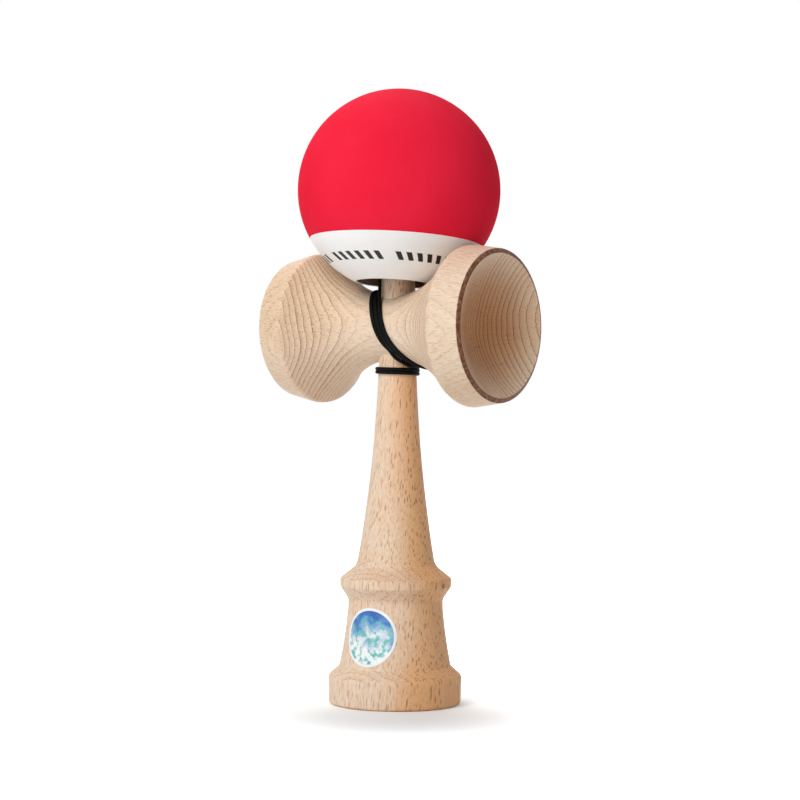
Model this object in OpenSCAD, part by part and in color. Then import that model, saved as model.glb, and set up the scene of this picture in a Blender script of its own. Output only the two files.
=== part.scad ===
// Kendama: a turned wooden ken, a cross piece with two cups wedged on its taper, a drilled and coated
// ball on the spike, and the string that ties them, lashed round the cross.
// Millimetres, +Z up. The origin lies on the ken's axis in the plane of the base rim.
// The cups lie along X, with the big cup on the +X side.

/* [Ken] */
// Height of the spike tip above the middle of the ball
tip_rise = 6.3; // [3:0.1:9]
// Radius of the spike tip before it is rounded
tip_r = 2.2; // [1.6:0.1:3]
// Rounding of the spike tip
tip_round = 1.6; // [0.6:0.1:1.8]
// Radius of the spike where it leaves the cross piece
spike_r = 5.2; // [4.8:0.05:5.4]
// Radius of the grip just under the cross piece
grip_top_r = 5.5; // [5.4:0.05:6]
// Radius at the foot of the grip
grip_foot_r = 11.55; // [10:0.05:12.5]
// Height of the foot of the grip
grip_foot_z = 40.9; // [39.5:0.1:46]
// How far the grip is hollowed under a straight taper
grip_hollow = 1.08; // [0.2:0.02:1.6]
// Fillet at the foot of the grip
grip_fillet = 4.5; // [1:0.1:7]
// Radius of the belt
belt_r = 16.45; // [15:0.05:18]
// Height of the belt's top edge
belt_top_z = 37; // [36:0.1:39]
// Height of the belt's face
belt_h = 2.4; // [1.5:0.1:3.2]
// Rounding of the belt's edges
belt_round = 0.35; // [0.1:0.05:0.8]

/* [Base] */
// Radius of the waist at its narrowest
waist_r = 14; // [12.5:0.05:15.5]
// Height of the narrowest part of the waist
waist_z = 30.9; // [28:0.1:32.5]
// Fillet at the narrowest part of the waist
waist_fillet = 2.5; // [0.5:0.1:4]
// How far the waist is hollowed under a straight taper
waist_hollow = 0.25; // [0.05:0.05:0.8]
// Radius of the crease between the waist and the flange
crease_r = 16.5; // [15:0.05:18]
// Height of the crease
crease_z = 11.2; // [10:0.1:13]
// Radius of the flange
flange_r = 19.75; // [18.8:0.05:22]
// Height of the flange's wall
flange_h = 8.3; // [6:0.1:9.5]
// Rounding of the flange's upper edge
flange_round = 1.8; // [0.5:0.1:2.5]
// How much the flange's wall draws in towards the rim
flange_draw = 0.3; // [0.05:0.05:1]
// Rounding of the flange's lower edge
rim_round = 1; // [0.3:0.1:1.4]
// Radius of the base cup at the rim
base_lip_r = 17.4; // [15:0.1:17.8]
// Radius of the base cup's hollow
base_dish_r = 24; // [21:0.5:32]

/* [Cross piece] */
// Height of the cross piece's axis
cross_z = 111.2; // [105:0.1:118]
// Radius of the neck at its narrowest
neck_r = 9.65; // [9.2:0.05:10.2]
// Rounding of the cups' shoulders
shoulder_round = 1.3; // [0.5:0.1:2.2]
// Radius of the big cup's shoulder before it is rounded
big_r = 23.65; // [22.5:0.05:25]
// Distance of the big cup's shoulder from the ken's axis
big_x = 26.65; // [26:0.05:28]
// How late the flare swells towards the big cup, as a power of the distance
big_swell = 2.05; // [1.9:0.05:2.4]
// Radius of the big cup's rim
big_rim_r = 22.25; // [21:0.05:22.4]
// Radius of the small cup's shoulder before it is rounded
small_r = 22.75; // [21.5:0.05:23.4]
// Distance of the small cup's shoulder from the ken's axis
small_x = 27.35; // [26.7:0.05:28.5]
// How late the flare swells towards the small cup, as a power of the distance
small_swell = 2.3; // [2.05:0.05:2.6]
// Radius of the small cup's rim
small_rim_r = 20.75; // [19:0.05:21.2]
// Distance of both rims from the ken's axis
rim_x = 36.1; // [34:0.1:38]
// Width of the bevel round each rim
bevel_w = 1.15; // [0.5:0.05:1.6]
// Depth of the bevel round each rim
bevel_h = 0.6; // [0.3:0.05:1]
// Rounding of the bevel's edges
bevel_round = 0.25; // [0.1:0.05:0.4]
// Clearance of the wedged taper
wedge_gap = 0.05; // [0.02:0.01:0.1]

/* [Ball] */
// Diameter of the coated ball
ball_d = 60; // [56:0.5:64]
// Thickness of the coats
coat_t = 0.4; // [0.2:0.05:0.6]
// Gap between the ball and the flares that it sits on
seat_gap = 0.4; // [0.2:0.05:0.6]
// Lean of the ball on the spike, towards +Y
ball_lean = 4.7; // [0:0.1:5.5]
// Depth of the white zone's upper edge below the ball's middle
white_drop = 15.7; // [8:0.1:18]
// Radius of the hole's mouth
mouth_r = 11.2; // [10.8:0.1:12.2]
// Radius of the hole
hole_r = 10.4; // [9.8:0.1:10.7]
// Depth of the bevel in the mouth
mouth_bevel = 2.4; // [1:0.1:4]
// Point angle of the hole's end
drill_angle = 118; // [100:1:140]
// Radius of the string hole in the top
eye_r = 1.6; // [1.4:0.05:2.2]
// Radius of the string hole's countersink
eye_sink_r = 2.6; // [2.3:0.05:3.5]

/* [String] */
// Diameter of the string
string_d = 0.9; // [0.7:0.05:1.1]
// Clear gap between neighbouring strands
strand_gap = 0.48; // [0.45:0.01:0.7]
// Gap between the string and the wood
lay_gap = 0.25; // [0.2:0.05:0.35]
// Radius of the string's hole through the neck and the ken
string_hole_r = 1.5; // [1.2:0.1:1.8]
// Diameter of the knot in the ken
knot_d = 3.8; // [3.2:0.1:4.2]
// Length of the knot in the ken
knot_len = 2.2; // [1.6:0.1:2.5]
// Rounding of the knots
knot_round = 0.6; // [0.2:0.05:0.7]
// Gap round the knot in its pocket
knot_gap = 0.3; // [0.1:0.05:0.5]
// Diameter of the bead
bead_d = 7; // [6:0.1:8]
// Gap between the spike tip and the bead
bead_gap = 5; // [3.5:0.1:6]
// Radius of the bead's hole
bead_hole_r = 0.8; // [0.7:0.05:1]
// Diameter of the knot above the bead
end_knot_d = 2.4; // [2:0.1:2.6]
// Length of the knot above the bead
end_knot_len = 2; // [1.4:0.1:2.5]

/* [Sticker] */
// Diameter of the sticker on the waist
sticker_d = 17; // [12:0.5:18]
// Thickness of the sticker
sticker_t = 0.2; // [0.1:0.05:0.3]
// Height of the sticker's middle
sticker_z = 20.6; // [18:0.1:22]
// Turn of the sticker from the front, towards +X
sticker_turn = 5; // [-40:1:40]

/* [Hidden] */
$fn = 96;

wood_colour = "burlywood";
cup_colour = "wheat";
red_colour = "crimson";
white_colour = "whitesmoke";
string_colour = "black";
bead_colour = "tan";
sticker_colour = "steelblue";

// Length by which every cut runs past the face that it opens
overrun = 1;
// Steps in a rounded corner, in a long bowed stretch and in a flare
corner_steps = 8;
bow_steps = 14;
flare_steps = 14;
// Most of a side that the rounding of a corner may take
corner_share = 0.48;

// The ball rests on the flare that carries it highest
ball_r = ball_d / 2;
core_r = ball_r - coat_t;
ball_z = cross_z + max(seat_rise(big_r, big_x, big_swell), seat_rise(small_r, small_x, small_swell));
pole = [0, sin(ball_lean), cos(ball_lean)];

// Heights on the ken: the ends of the wedged taper, and the spike tip
wedge_low_z = cross_z - neck_r;
wedge_high_z = cross_z + neck_r;
tip_z = ball_z + tip_rise;

// The bead hangs above the spike tip, and the drilled end of the hole clears it
bead_r = bead_d / 2;
bead_rise = tip_rise + bead_gap + bead_r;
hole_tip = bead_rise + (bead_r + seat_gap) / sin(drill_angle / 2);
hole_end = hole_tip - hole_r / tan(drill_angle / 2);
bead_flat = sqrt(bead_r * bead_r - end_knot_d * end_knot_d / 4);

// Strands lie one pitch apart, on the wood
pitch = string_d + strand_gap;
string_r = string_d / 2;
lay = lay_gap + string_r;
knot_face_y = -seat_r(cross_z) + lay_gap + knot_len;

// The lashing slants over the neck: x at each angle round the neck, from the top over the front
lane_mid = 1.6;
lane_swing = 8.4;
lane_lean = 1;
lane_bend = 1.9;
// Angles turned from under the neck: where the lashing starts, where it ends, and its middle
lane_from = 15;
lane_to = 855;
lane_even = 450;
// Rings round the ken: height of the first at the back, and what they turn through
ring_z = 96.6;
ring_turn = 750;
ring_gap = 0.1;
// Angle between the key points of the loops, and steps between two key points
key_angle = 30;
key_steps = 2;
winding_sides = 6;
run_sides = 8;
// Points nearer than this along the string, in diameters, belong to one strand
strand_share = 4;

// Route of the string from its hole at the back of the neck down to the rings
hole_route = [[0, 6.5, 111.2], [0, 7.85, 111.2], [0, 9.15, 110.85], [0, 10.05, 109.9], [-0.1, 10.3, 108.6],
              [-0.4, 10.1, 107], [-1, 9.4, 104.6], [-2, 8.8, 102.3], [-2.8, 8.3, 100.4], [-3.2, 7.75, 98.5],
              [-2.6, 7.25, 97.1], [-1.3, 6.7, 96.55]];
// Route from the rings to the lashing
link_route = [[5.1, 4.1, 99.65], [6.5, 1.8, 99.85]];
// Route from the lashing up beside the spike into the ball
run_route = [[-2.4, -6.3, 120.6], [-3, -5.6, 122.6], [-3.2, -5.2, 125], [-3.2, -5, 128], [-3.3, -4.6, 133],
             [-3.3, -4.2, 138], [-3.2, -3.8, 143], [-3, -3.3, 148], [-2.8, -2.7, 152.5], [-2.6, -1.9, 156],
             [-2, -1, 158.7], [-0.8, 0.3, 160.8]];

// Outline helpers
function xy(p) = [p[0], p[1]];
function unit(v) = v / norm(v);
function backwards(list) = [for (i = [len(list) - 1 : -1 : 0]) list[i]];
function last(list) = list[len(list) - 1];
function but_last(list) = [for (i = [0 : len(list) - 2]) list[i]];
function turn_between(a, b) = b - a - 360 * round((b - a) / 360);

// Arc that rounds corner b, given as [x, y, radius], between its neighbours a and c
function corner_arc(a, b, c) =
    let (to_a = xy(a) - xy(b),
         to_c = xy(c) - xy(b),
         half = acos(unit(to_a) * unit(to_c)) / 2,
         r = min(b[2], corner_share * min(norm(to_a), norm(to_c)) * tan(half)),
         centre = xy(b) + unit(unit(to_a) + unit(to_c)) * r / sin(half),
         start = xy(b) + unit(to_a) * r / tan(half) - centre,
         end = xy(b) + unit(to_c) * r / tan(half) - centre,
         from = atan2(start[1], start[0]),
         sweep = turn_between(from, atan2(end[1], end[0])))
    [for (i = [0 : corner_steps])
        let (angle = from + sweep * i / corner_steps)
        centre + r * [cos(angle), sin(angle)]];

// Outline through corners, each rounded by its own radius
function rounded(corners) =
    [for (i = [0 : len(corners) - 1])
        each corners[i][2] == 0
            ? [xy(corners[i])]
            : corner_arc(corners[i - 1], corners[i], corners[i + 1])];

// Arc from a to b that stands off its chord by sag, to the left where sag is positive
function bow(a, b, sag) =
    let (chord = norm(b - a),
         along = unit(b - a),
         across = [-along[1], along[0]] * sign(sag),
         r = (chord * chord / 4 + sag * sag) / (2 * abs(sag)),
         half = asin(chord / (2 * r)))
    [for (i = [0 : bow_steps])
        let (angle = half * (2 * i / bow_steps - 1))
        (a + b) / 2 + along * r * sin(angle) + across * r * (cos(angle) - cos(half))];

// The same points as corners that stay sharp
function sharp(points) = [for (p = points) [p[0], p[1], 0]];

// Radius of a flare, and of the cross piece, at a distance from the ken's axis
function flare_r(x, cup_r, cup_x, swell) = neck_r + (cup_r - neck_r) * pow(abs(x) / cup_x, swell);
function cross_r(x) =
    x > 0 ? flare_r(x, big_r, big_x, big_swell) : flare_r(x, small_r, small_x, small_swell);
function flare_slope(x, cup_r, cup_x, swell) =
    swell * (cup_r - neck_r) / cup_x * pow(abs(x) / cup_x, swell - 1);
function cross_slope(x) =
    x > 0 ? flare_slope(x, big_r, big_x, big_swell) : flare_slope(x, small_r, small_x, small_swell);

// Radius of the wedged taper at a height, and how high a flare carries the ball outside its mouth
function seat_r(z) = grip_top_r + (spike_r - grip_top_r) * (z - wedge_low_z) / (2 * neck_r);
function seat_rise(cup_r, cup_x, swell) =
    max([for (i = [0 : flare_steps])
        let (x = mouth_r + (min(cup_x, ball_r) - mouth_r) * i / flare_steps)
        flare_r(x, cup_r, cup_x, swell) + sqrt(pow(ball_r + seat_gap, 2) - x * x)]);

// Outline of the ken above and below its waist, as radius and height
waist_line = bow([waist_r, waist_z - waist_fillet], [crease_r, crease_z], -waist_hollow);
ken_outline = rounded(concat(
    [[0, tip_z, 0],
     [tip_r, tip_z, tip_round],
     [spike_r, wedge_high_z, 0]],
    sharp(but_last(bow([grip_top_r, wedge_low_z], [grip_foot_r, grip_foot_z], -grip_hollow))),
    [[grip_foot_r, grip_foot_z, grip_fillet],
     [belt_r, belt_top_z, belt_round],
     [belt_r, belt_top_z - belt_h, belt_round],
     [waist_r, waist_z, waist_fillet]],
    sharp(waist_line),
    [[flange_r, flange_h, flange_round],
     [flange_r - flange_draw, 0, rim_round],
     [0, 0, 0]]));

// One half of the cross piece's outline, from the neck out to the lip, as radius and distance
function cup_corners(cup_r, cup_x, swell, cup_rim_r) = concat(
    [for (i = [1 : flare_steps - 1])
        let (x = cup_x * i / flare_steps)
        [flare_r(x, cup_r, cup_x, swell), x, 0]],
    [[cup_r, cup_x, shoulder_round],
     [cup_rim_r, rim_x, bevel_round],
     [cup_rim_r - bevel_w, rim_x + bevel_h, bevel_round],
     [0, rim_x + bevel_h, 0]]);
function other_side(corners) = [for (c = backwards(corners)) [c[0], -c[1], c[2]]];
cross_outline = rounded(concat(
    other_side(cup_corners(small_r, small_x, small_swell, small_rim_r)),
    [[neck_r, 0, 0]],
    cup_corners(big_r, big_x, big_swell, big_rim_r)));

// Outline of the ball's hole, from the mouth to the countersunk eye in the top
mouth_z = -sqrt(ball_r * ball_r - mouth_r * mouth_r);
eye_sink_z = sqrt(ball_r * ball_r - eye_sink_r * eye_sink_r);
hole_outline = [[0, -ball_r - overrun],
                [mouth_r, -ball_r - overrun],
                [mouth_r, mouth_z],
                [hole_r, mouth_z + mouth_bevel],
                [hole_r, hole_end],
                [eye_r, hole_tip - eye_r / tan(drill_angle / 2)],
                [eye_r, eye_sink_z - (eye_sink_r - eye_r)],
                [eye_sink_r, eye_sink_z],
                [eye_sink_r, ball_r + overrun],
                [0, ball_r + overrun]];

// Smooth line through points, with steps between each two
function between(a, b, c, d, t) =
    (2 * b + (c - a) * t + (2 * a - 5 * b + 4 * c - d) * t * t + (3 * b - a - 3 * c + d) * t * t * t) / 2;
function smooth(p, steps) = concat(
    [for (i = [0 : len(p) - 2])
        for (k = [0 : steps - 1])
            between(p[max(i - 1, 0)], p[i], p[i + 1], p[min(i + 2, len(p) - 1)], k / steps)],
    [last(p)]);

// Point of the lashing after a turn from its start: it climbs the front and goes down the back
function lane_slope(a) = lane_swing * sin(a) - lane_lean * cos(a) + 2 * lane_bend * cos(2 * a);
function lane_x(a) = lane_mid - lane_swing * cos(a) - lane_lean * sin(a) + lane_bend * sin(2 * a);
function lane_point(turn) =
    let (a = 180 - turn,
         spread = sqrt(1 + pow(lane_slope(a) / (neck_r + lay), 2)),
         x = lane_x(a) + pitch * spread * (turn - lane_even) / 360,
         r = cross_r(x) + lay * norm([1, cross_slope(x)]))
    [x, -r * sin(a), cross_z + r * cos(a)];

// Point of the rings round the ken, from the back over the right to the front
function ring_point(turn) =
    let (r = grip_top_r + ring_gap + lay)
    [r * sin(turn), r * cos(turn), ring_z + pitch * turn / 360];

winding_points = concat(
    [[0, knot_face_y, cross_z],
     [0, knot_face_y + string_d, cross_z]],
    smooth(concat(
        hole_route,
        [for (turn = [0 : key_angle : ring_turn]) ring_point(turn)],
        link_route,
        [for (turn = [lane_from : key_angle : lane_to]) lane_point(turn)]), key_steps));

bead_middle = [0, 0, ball_z] + pole * bead_rise;
run_points = concat(
    [lane_point(lane_to)],
    run_route,
    [bead_middle - pole * bead_r,
     bead_middle,
     bead_middle + pole * bead_flat]);

// Distance of each point along a line, and the least gap between two strands of it
function run_out(p) =
    [for (i = 0, s = 0; i < len(p); i = i + 1, s = i < len(p) ? s + norm(p[i] - p[i - 1]) : s) s];
function least_gap(p) =
    let (s = run_out(p))
    min([for (i = [0 : len(p) - 2])
        for (j = [i + 1 : len(p) - 1])
            if (s[j] - s[i] > strand_share * string_d) norm(p[i] - p[j])]) - string_d;
echo(str("Length of the string: ", last(run_out(winding_points)) + last(run_out(run_points)), " mm"));
echo(str("Least gap in the winding: ", least_gap(winding_points), " mm"));

// Tube helpers: directions along a line, and normals carried along it without twist
function directions(p) = [for (i = [0 : len(p) - 1]) unit(p[min(i + 1, len(p) - 1)] - p[max(i - 1, 0)])];
function squared(v, along) = unit(v - (v * along) * along);
function normals(along) =
    [for (i = 0, n = squared([0, 0, 1] + [1, 0, 0], along[0]);
          i < len(along);
          i = i + 1, n = i < len(along) ? squared(n, along[i]) : n) n];

// Closed tube along points, with a ring of corners at each and fans of triangles at its ends
module tube(points, d, sides) {
    along = directions(points);
    out = normals(along);
    count = len(points);
    corners = [for (i = [0 : count - 1])
        for (k = [0 : sides - 1])
            points[i] + d / 2 * (out[i] * cos(360 * k / sides) + cross(along[i], out[i]) * sin(360 * k / sides))];
    walls = [for (i = [0 : count - 2])
        for (k = [0 : sides - 1])
            let (a = i * sides + k, b = i * sides + (k + 1) % sides)
            each [[a, a + sides, b], [b, a + sides, b + sides]]];
    first_end = [for (k = [1 : sides - 2]) [0, k, k + 1]];
    last_ring = (count - 1) * sides;
    far_end = [for (k = [1 : sides - 2]) [last_ring, last_ring + k + 1, last_ring + k]];
    polyhedron(corners, concat(walls, first_end, far_end));
}

// Places a shape made round the Z axis along the cross piece, or on the leaning ball
module along_x() rotate([0, 90, 0]) children();
module on_ball() translate([0, 0, ball_z]) rotate([-ball_lean, 0, 0]) children();

// Round bar along Y at the height of the string's hole
module bar_y(r, from_y, to_y) translate([0, from_y, cross_z]) rotate([-90, 0, 0]) cylinder(r = r, h = to_y - from_y);

// Knot made round the Z axis, with flat ends
module knot(d, length, bore_r)
    rotate_extrude()
        polygon(rounded([[bore_r, 0, 0], [d / 2, 0, knot_round], [d / 2, length, knot_round], [bore_r, length, 0]]));

// Sphere that hollows a dish of the given lip radius below a lip at height 0
module dish(r, lip_r) translate([0, 0, sqrt(r * r - lip_r * lip_r)]) sphere(r);

// The ken: spike, wedged taper, hollow grip, belt, waist and flange, with a cup turned into its base
module ken() color(wood_colour) difference() {
    rotate_extrude() polygon(ken_outline);
    mirror([0, 0, 1]) dish(base_dish_r, base_lip_r);
    bar_y(string_hole_r, knot_face_y, neck_r);
    bar_y(knot_d / 2 + knot_gap, -neck_r, knot_face_y);
}

// The cross piece: a waisted bar turned along X with a dish in each end, bored for the ken and the string
module cross_piece() color(cup_colour) difference() {
    translate([0, 0, cross_z]) along_x() rotate_extrude() polygon(cross_outline);
    translate([rim_x + bevel_h, 0, cross_z])
        along_x() dish(ball_r + bevel_w, big_rim_r - bevel_w - bevel_round);
    translate([-rim_x - bevel_h, 0, cross_z])
        along_x() mirror([0, 0, 1]) dish(ball_r + bevel_w, small_rim_r - bevel_w - bevel_round);
    translate([0, 0, wedge_low_z - overrun])
        cylinder(r1 = seat_r(wedge_low_z - overrun) + wedge_gap, r2 = seat_r(wedge_high_z + overrun) + wedge_gap,
                 h = 2 * (neck_r + overrun));
    bar_y(string_hole_r, 0, neck_r + overrun);
}

// The wooden ball, drilled from below and pierced at its top
module ball_core() color(wood_colour) on_ball() difference() {
    sphere(core_r);
    rotate_extrude() polygon(hole_outline);
}

// Coat of the ball between two heights, open round an inner radius
module coat(low_z, high_z, open_r)
    on_ball() rotate_extrude() intersection() {
        difference() {
            circle(ball_r);
            circle(core_r);
        }
        translate([open_r, low_z]) square([ball_r, high_z - low_z]);
    }

module red_coat() color(red_colour) coat(-white_drop, ball_r, eye_sink_r);

module white_coat() color(white_colour) coat(-ball_r, -white_drop, mouth_r);

// The bead on the string's end, flat where its knot sits
module bead() color(bead_colour) on_ball() translate([0, 0, bead_rise]) difference() {
    sphere(bead_r);
    translate([0, 0, -bead_r]) cylinder(r = bead_hole_r, h = bead_d);
    translate([0, 0, bead_flat]) cylinder(r = bead_r, h = bead_r);
}

module bead_knot() color(string_colour) on_ball() translate([0, 0, bead_rise + bead_flat]) knot(end_knot_d, end_knot_len, 0);

// The knot that holds the string in its pocket in the ken
module ken_knot() color(string_colour)
    translate([0, knot_face_y, cross_z]) rotate([90, 0, 0]) knot(knot_d, knot_len, 0);

// The string from its knot out of the neck, twice round the ken and slanting over the cross
module string_winding() color(string_colour) tube(winding_points, string_d, winding_sides);

// The string from the lashing up beside the spike, through the bead in the ball
module string_run() color(string_colour) tube(smooth(run_points, key_steps), string_d, run_sides);

// The round sticker that follows the waist
module sticker() color(sticker_colour) intersection() {
    rotate_extrude() polygon(concat(waist_line, [for (p = backwards(waist_line)) p + [sticker_t, 0]]));
    translate([0, 0, sticker_z]) rotate([90, 0, sticker_turn]) cylinder(r = sticker_d / 2, h = flange_r);
}

ken();
cross_piece();
ball_core();
red_coat();
white_coat();
bead();
bead_knot();
ken_knot();
string_winding();
string_run();
sticker();
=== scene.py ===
import math

import bpy
import numpy as np
from mathutils import Matrix, Vector


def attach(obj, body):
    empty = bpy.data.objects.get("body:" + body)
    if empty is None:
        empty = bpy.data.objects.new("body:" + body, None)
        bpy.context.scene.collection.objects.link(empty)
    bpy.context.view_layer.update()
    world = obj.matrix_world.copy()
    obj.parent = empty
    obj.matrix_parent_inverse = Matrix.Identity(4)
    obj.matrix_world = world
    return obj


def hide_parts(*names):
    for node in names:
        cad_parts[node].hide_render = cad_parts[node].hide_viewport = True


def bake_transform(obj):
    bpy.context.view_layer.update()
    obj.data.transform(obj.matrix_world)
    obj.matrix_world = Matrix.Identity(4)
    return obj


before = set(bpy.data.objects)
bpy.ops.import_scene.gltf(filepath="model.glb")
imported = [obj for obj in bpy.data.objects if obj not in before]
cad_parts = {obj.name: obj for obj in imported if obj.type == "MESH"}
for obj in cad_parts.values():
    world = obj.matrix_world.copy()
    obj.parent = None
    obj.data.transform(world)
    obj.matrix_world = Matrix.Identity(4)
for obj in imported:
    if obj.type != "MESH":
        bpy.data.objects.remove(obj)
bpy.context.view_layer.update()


# Camera
# It stands level with a long lens, in front of the toy and towards the big cup's side, so that it
# sees the front of the small cup's flare and into the big cup's dish.
view_turn = math.radians(36)
view_distance = 0.645
view_height = 0.08965
view_aside = 0.0008
view_roll = math.radians(0.5)
lens_mm = 98.0
sensor_mm = 36.0

to_camera = Vector((math.sin(view_turn), -math.cos(view_turn), 0))
to_right = Vector((math.cos(view_turn), math.sin(view_turn), 0))
camera_data = bpy.data.cameras.new("camera")
camera_data.lens = lens_mm
camera_data.sensor_width = sensor_mm
camera = bpy.data.objects.new("camera", camera_data)
bpy.context.scene.collection.objects.link(camera)
camera.location = to_camera * view_distance + to_right * view_aside + Vector((0, 0, view_height))
level = (-to_camera).to_track_quat("-Z", "Y").to_matrix()
camera.rotation_euler = (level @ Matrix.Rotation(view_roll, 3, "Z")).to_euler()
bpy.context.scene.camera = camera
bpy.context.scene.view_settings.view_transform = "Standard"


# String
# One black braided cord. It is knotted in the ken, comes out of the back of the neck, lies twice round
# the ken and three times slanting over the neck, and goes up beside the spike to the bead in the ball.
mm = 0.001
cross_z = 111.2
neck_r = 9.65
big_r = 23.65
big_x = 26.65
big_swell = 2.05
small_r = 22.75
small_x = 27.35
small_swell = 2.3
ball_z = 151.623
ball_lean = math.radians(4.7)
pole = Vector((0, math.sin(ball_lean), math.cos(ball_lean)))
bead_rise = 14.8
bead_r = 3.5
bead_flat = 3.288
knot_face_y = -2.9

string_d = 1.05
round_share = 1.0
pressed_share = 1.3
strand_pitch = 1.37
lay_gap = 0.03
lay = lay_gap + string_d / pressed_share / 2
lane_mid = 1.25
lane_swing = 7.95
lane_lean = 1.0
lane_bend = 1.9
lane_turns = range(45, 856, 15)
lane_even = 450
ring_r = 6.08
ring_z = 97.3
ring_pitch = 0.95
ring_turns = range(0, 796, 15)

hole_route = [[0, 6.5, 111.2], [0, 7.85, 111.2], [0, 9.15, 110.85], [0, 10.05, 109.9], [-0.1, 10.3, 108.6],
              [-0.4, 10.1, 107], [-1, 9.4, 104.6], [-2, 8.8, 102.3], [-2.8, 8.3, 100.4], [-3.2, 7.6, 98.7],
              [-2.7, 7, 97.6], [-1.5, 6.4, 97.2]]
link_route = [[6, -1.8, 99.7], [5.2, -4.2, 100.6], [3.8, -6, 101.9]]
run_route = [[-2.3, -6.2, 120.6], [-2.8, -5.4, 122.6], [-3, -5, 125], [-3, -4.8, 128], [-3.2, -4.5, 133],
             [-3.3, -4.2, 138], [-3.2, -3.8, 143], [-3, -3.3, 148], [-2.8, -2.7, 152.5], [-2.6, -1.9, 156],
             [-2, -1, 158.7], [-0.8, 0.3, 160.8]]


def flare(x):
    """Radius and slope of the cross piece at a distance from the ken's axis."""
    cup_r, cup_x, swell = (big_r, big_x, big_swell) if x > 0 else (small_r, small_x, small_swell)
    reach = abs(x) / cup_x
    slope = swell * (cup_r - neck_r) / cup_x * reach ** (swell - 1)
    return neck_r + (cup_r - neck_r) * reach ** swell, slope


def lane_key(turn):
    """Key of the lashing after a turn from under the neck: point, outward direction and flatness."""
    angle = math.radians(180 - turn)
    slope = (lane_swing * math.sin(angle) - lane_lean * math.cos(angle)
             + 2 * lane_bend * math.cos(2 * angle))
    x = lane_mid - lane_swing * math.cos(angle) - lane_lean * math.sin(angle)
    x += lane_bend * math.sin(2 * angle)
    x += strand_pitch * math.hypot(1, slope / (neck_r + lay)) * (turn - lane_even) / 360
    wood_r, wood_slope = flare(x)
    r = wood_r + lay * math.hypot(1, wood_slope)
    away = [0, -math.sin(angle), math.cos(angle)]
    return [x, r * away[1], cross_z + r * away[2], *away, pressed_share]


def ring_key(turn):
    """Key of the rings round the ken after a turn from the back."""
    angle = math.radians(turn)
    away = [math.sin(angle), math.cos(angle), 0]
    return [ring_r * away[0], ring_r * away[1], ring_z + ring_pitch * turn / 360, *away, round_share]


def smooth(keys, steps):
    """Smooth line through keys, with steps between each two."""
    p = np.array(keys, float)
    line = []
    for i in range(len(p) - 1):
        a, b, c, d = p[max(i - 1, 0)], p[i], p[i + 1], p[min(i + 2, len(p) - 1)]
        for t in np.arange(steps) / steps:
            line.append(b + ((c - a) * t + (2 * a - 5 * b + 4 * c - d) * t ** 2
                             + (3 * b - a - 3 * c + d) * t ** 3) / 2)
    return np.array(line + [p[-1]])


def evenly(line, step):
    """The same line in steps of equal length."""
    far = np.concatenate([[0], np.cumsum(np.linalg.norm(np.diff(line[:, :3], axis=0), axis=1))])
    at = np.linspace(0, far[-1], int(far[-1] / step) + 1)
    return np.stack([np.interp(at, far, column) for column in line.T], axis=1), at


def unit_rows(rows):
    return rows / np.linalg.norm(rows, axis=1, keepdims=True)


def braided_tube(name, keys, diameter, closed):
    """Braided cord along keys of point, outward direction and flatness, in millimetres."""
    sides = 20
    plaits = 4
    plait_len = 1.5
    plait_share = 0.055
    step = 0.15
    line, far = evenly(keys, step)
    if closed:
        line, far = line[:-1], far[:-1]
    middle, away, flat = line[:, :3], line[:, 3:6], line[:, 6]
    ahead = np.roll(middle, -1, axis=0) - np.roll(middle, 1, axis=0)
    if not closed:
        ahead[0] = middle[1] - middle[0]
        ahead[-1] = middle[-1] - middle[-2]
    ahead = unit_rows(ahead)
    out = unit_rows(away - np.sum(away * ahead, axis=1, keepdims=True) * ahead)
    aside = np.cross(ahead, out)
    turn = np.arange(sides) * 2 * math.pi / sides
    advance = 2 * math.pi * far[:, None] / plait_len
    braid = np.cos(plaits * turn + advance) * np.cos(plaits * turn - advance)
    radius = diameter / 2 * (1 + plait_share * braid)
    rise = (radius * np.cos(turn) / flat[:, None])[:, :, None] * out[:, None, :]
    sway = (radius * np.sin(turn) * flat[:, None])[:, :, None] * aside[:, None, :]
    corners = ((middle[:, None, :] + rise + sway) * mm).reshape(-1, 3)
    rings = len(middle)
    faces = []
    for i in range(rings if closed else rings - 1):
        here, there = i * sides, (i + 1) % rings * sides
        for k in range(sides):
            n = (k + 1) % sides
            faces.append((here + k, here + n, there + n, there + k))
    if not closed:
        faces.append(tuple(range(sides - 1, -1, -1)))
        faces.append(tuple(range((rings - 1) * sides, rings * sides)))
    mesh = bpy.data.meshes.new(name)
    mesh.from_pydata(corners.tolist(), [], faces)
    mesh.shade_smooth()
    braid_values = mesh.attributes.new("braid", "FLOAT", "POINT").data
    braid_values.foreach_set("value", braid.astype(np.float32).ravel())
    piece = bpy.data.objects.new(name, mesh)
    bpy.context.scene.collection.objects.link(piece)
    return piece, middle * mm


def paint(code):
    """Linear colour for a shader from six hexadecimal digits, by the sRGB curve."""
    shares = [int(code[i:i + 2], 16) / 255 for i in (0, 2, 4)]
    return [s / 12.92 if s <= 0.04045 else ((s + 0.055) / 1.055) ** 2.4 for s in shares] + [1]


def finish_of(name):
    """New material with a bare shader: its tree and its shader node."""
    made = bpy.data.materials.new(name)
    made.use_nodes = True
    made.node_tree.nodes.clear()
    shader = made.node_tree.nodes.new("ShaderNodeBsdfPrincipled")
    output = made.node_tree.nodes.new("ShaderNodeOutputMaterial")
    made.node_tree.links.new(shader.outputs[0], output.inputs[0])
    return made, made.node_tree, shader


def fill(tree, node, values):
    """Sets a node's sockets to values, or links them where a value is another node's output."""
    for socket, value in values.items():
        if isinstance(value, bpy.types.NodeSocket):
            tree.links.new(value, node.inputs[socket])
        else:
            node.inputs[socket].default_value = value


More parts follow.
